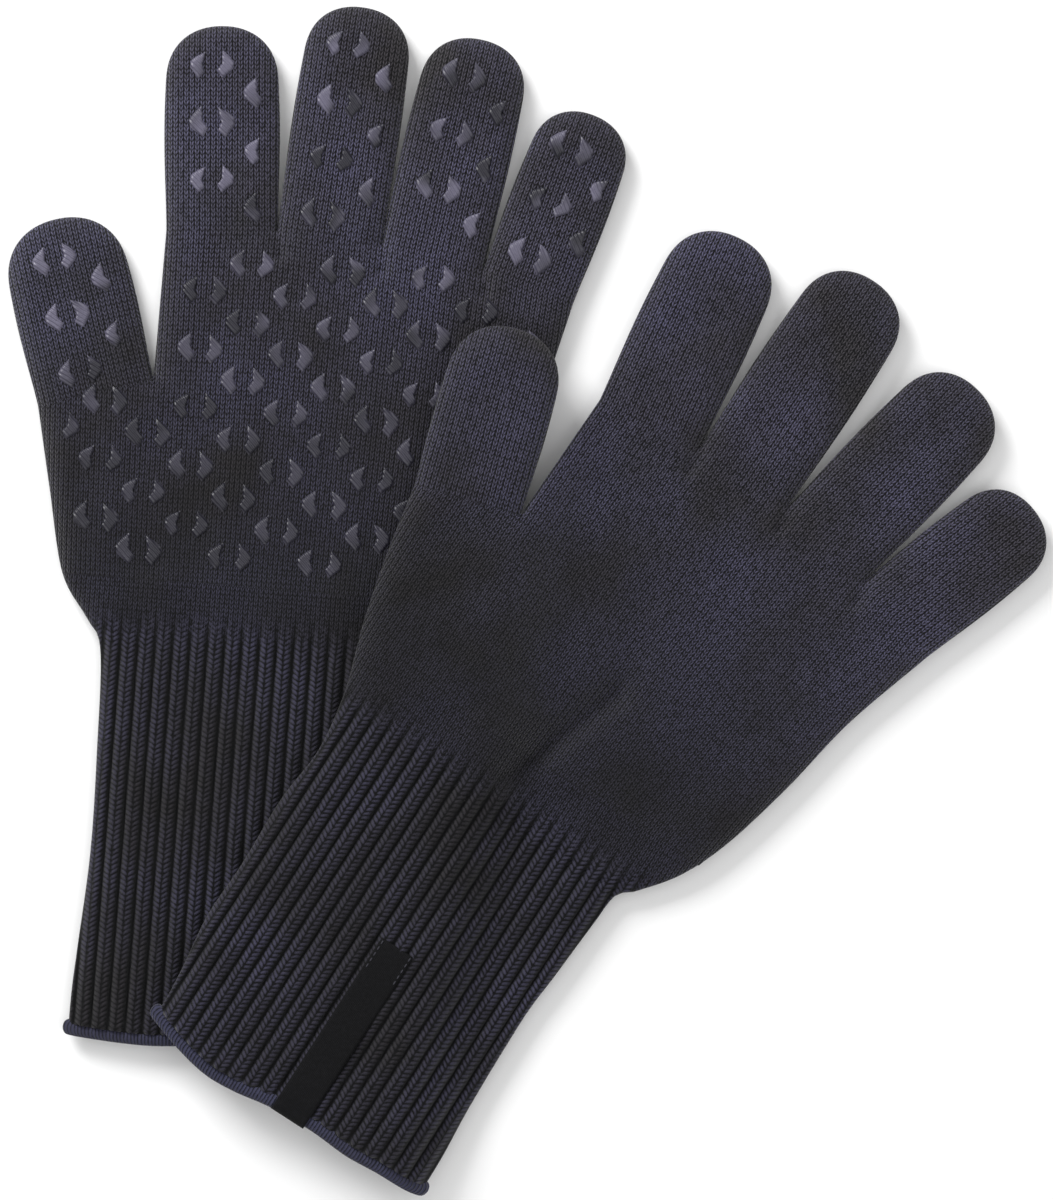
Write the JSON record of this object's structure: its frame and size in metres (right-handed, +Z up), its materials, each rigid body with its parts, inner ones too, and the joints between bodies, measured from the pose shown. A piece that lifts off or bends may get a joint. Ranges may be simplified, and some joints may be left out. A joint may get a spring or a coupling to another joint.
{
  "type": "heat resistant glove pair",
  "caption": "Pair of dark knitted heat resistant gloves with long ribbed cuffs and raised silicone grips, one lying across the other.",
  "frame": {"origin": "middle of the pair's bounding box, on the surface that the gloves lie on", "axes": "+Y towards the left-hand glove's fingertips, +X towards the right-hand glove, +Z up from the surface"},
  "size_m": [0.3364, 0.3846, 0.023],
  "materials": {
    "knit": "matte",
    "rib_knit": "matte",
    "hem_knit": "matte",
    "lining": "matte",
    "silicone": "satin",
    "thread": "matte",
    "label_tape": "satin"
  },
  "bodies": {
    "left_hand": {"left_hand_shell": "knit", "left_hand_lining": "lining", "left_palm_grips": "silicone", "left_crotch_tacks": "thread", "left_cuff": "rib_knit", "left_hem_band": "hem_knit"},
    "right_hand": {"right_hand_shell": "knit", "right_hand_lining": "lining", "right_palm_grips": "silicone", "right_crotch_tacks": "thread", "right_cuff": "rib_knit", "right_hem_band": "hem_knit", "right_cuff_label": "label_tape", "right_label_stitches": "thread"},
    "left_thumb": {"left_thumb_stall": "knit", "left_thumb_lining": "lining", "left_thumb_grips": "silicone"},
    "left_index": {"left_index_stall": "knit", "left_index_lining": "lining", "left_index_grips": "silicone"},
    "left_middle": {"left_middle_stall": "knit", "left_middle_lining": "lining", "left_middle_grips": "silicone"},
    "left_ring": {"left_ring_stall": "knit", "left_ring_lining": "lining", "left_ring_grips": "silicone"},
    "left_little": {"left_little_stall": "knit", "left_little_lining": "lining", "left_little_grips": "silicone"},
    "right_thumb": {"right_thumb_stall": "knit", "right_thumb_lining": "lining", "right_thumb_grips": "silicone"},
    "right_index": {"right_index_stall": "knit", "right_index_lining": "lining", "right_index_grips": "silicone"},
    "right_middle": {"right_middle_stall": "knit", "right_middle_lining": "lining", "right_middle_grips": "silicone"},
    "right_ring": {"right_ring_stall": "knit", "right_ring_lining": "lining", "right_ring_grips": "silicone"},
    "right_little": {"right_little_stall": "knit", "right_little_lining": "lining", "right_little_grips": "silicone"}
  },
  "joints": [
    {"name": "left_thumb_fold", "type": "hinge", "parent": "left_hand", "child": "left_thumb", "pos_m": [-0.14109, 0.06654, 0.01], "axis": [0.9744, 0.225, 0], "range_deg": [0, 80]},
    {"name": "left_index_fold", "type": "hinge", "parent": "left_hand", "child": "left_index", "pos_m": [-0.10082, 0.11935, 0.01], "axis": [0.9999, 0.0122, 0], "range_deg": [0, 80]},
    {"name": "left_middle_fold", "type": "hinge", "parent": "left_hand", "child": "left_middle", "pos_m": [-0.06584, 0.11703, 0.01], "axis": [0.989, -0.1478, 0], "range_deg": [0, 80]},
    {"name": "left_ring_fold", "type": "hinge", "parent": "left_hand", "child": "left_ring", "pos_m": [-0.03221, 0.11062, 0.01], "axis": [0.974, -0.2267, 0], "range_deg": [0, 80]},
    {"name": "left_little_fold", "type": "hinge", "parent": "left_hand", "child": "left_little", "pos_m": [-0.00078, 0.1011, 0.01], "axis": [0.9342, -0.3567, 0], "range_deg": [0, 80]},
    {"name": "right_thumb_fold", "type": "hinge", "parent": "right_hand", "child": "right_thumb", "pos_m": [-0.02153, 0.0315, 0.0219], "axis": [0.9603, -0.279, 0], "range_deg": [0, 80]},
    {"name": "right_index_fold", "type": "hinge", "parent": "right_hand", "child": "right_index", "pos_m": [0.03808, 0.05614, 0.0108], "axis": [0.9033, -0.4289, 0], "range_deg": [0, 80]},
    {"name": "right_middle_fold", "type": "hinge", "parent": "right_hand", "child": "right_middle", "pos_m": [0.06874, 0.03907, 0.0108], "axis": [0.8387, -0.5446, 0], "range_deg": [0, 80]},
    {"name": "right_ring_fold", "type": "hinge", "parent": "right_hand", "child": "right_ring", "pos_m": [0.09545, 0.01783, 0.0108], "axis": [0.7193, -0.6947, 0], "range_deg": [0, 80]},
    {"name": "right_little_fold", "type": "hinge", "parent": "right_hand", "child": "right_little", "pos_m": [0.1176, -0.00643, 0.0108], "axis": [0.6225, -0.7826, 0], "range_deg": [0, 80]},
    {"name": "right_glove_lift", "type": "slide", "parent": "left_hand", "child": "right_hand", "axis": [0, 0, 1], "range_m": [0, 0.15]}
  ]
}
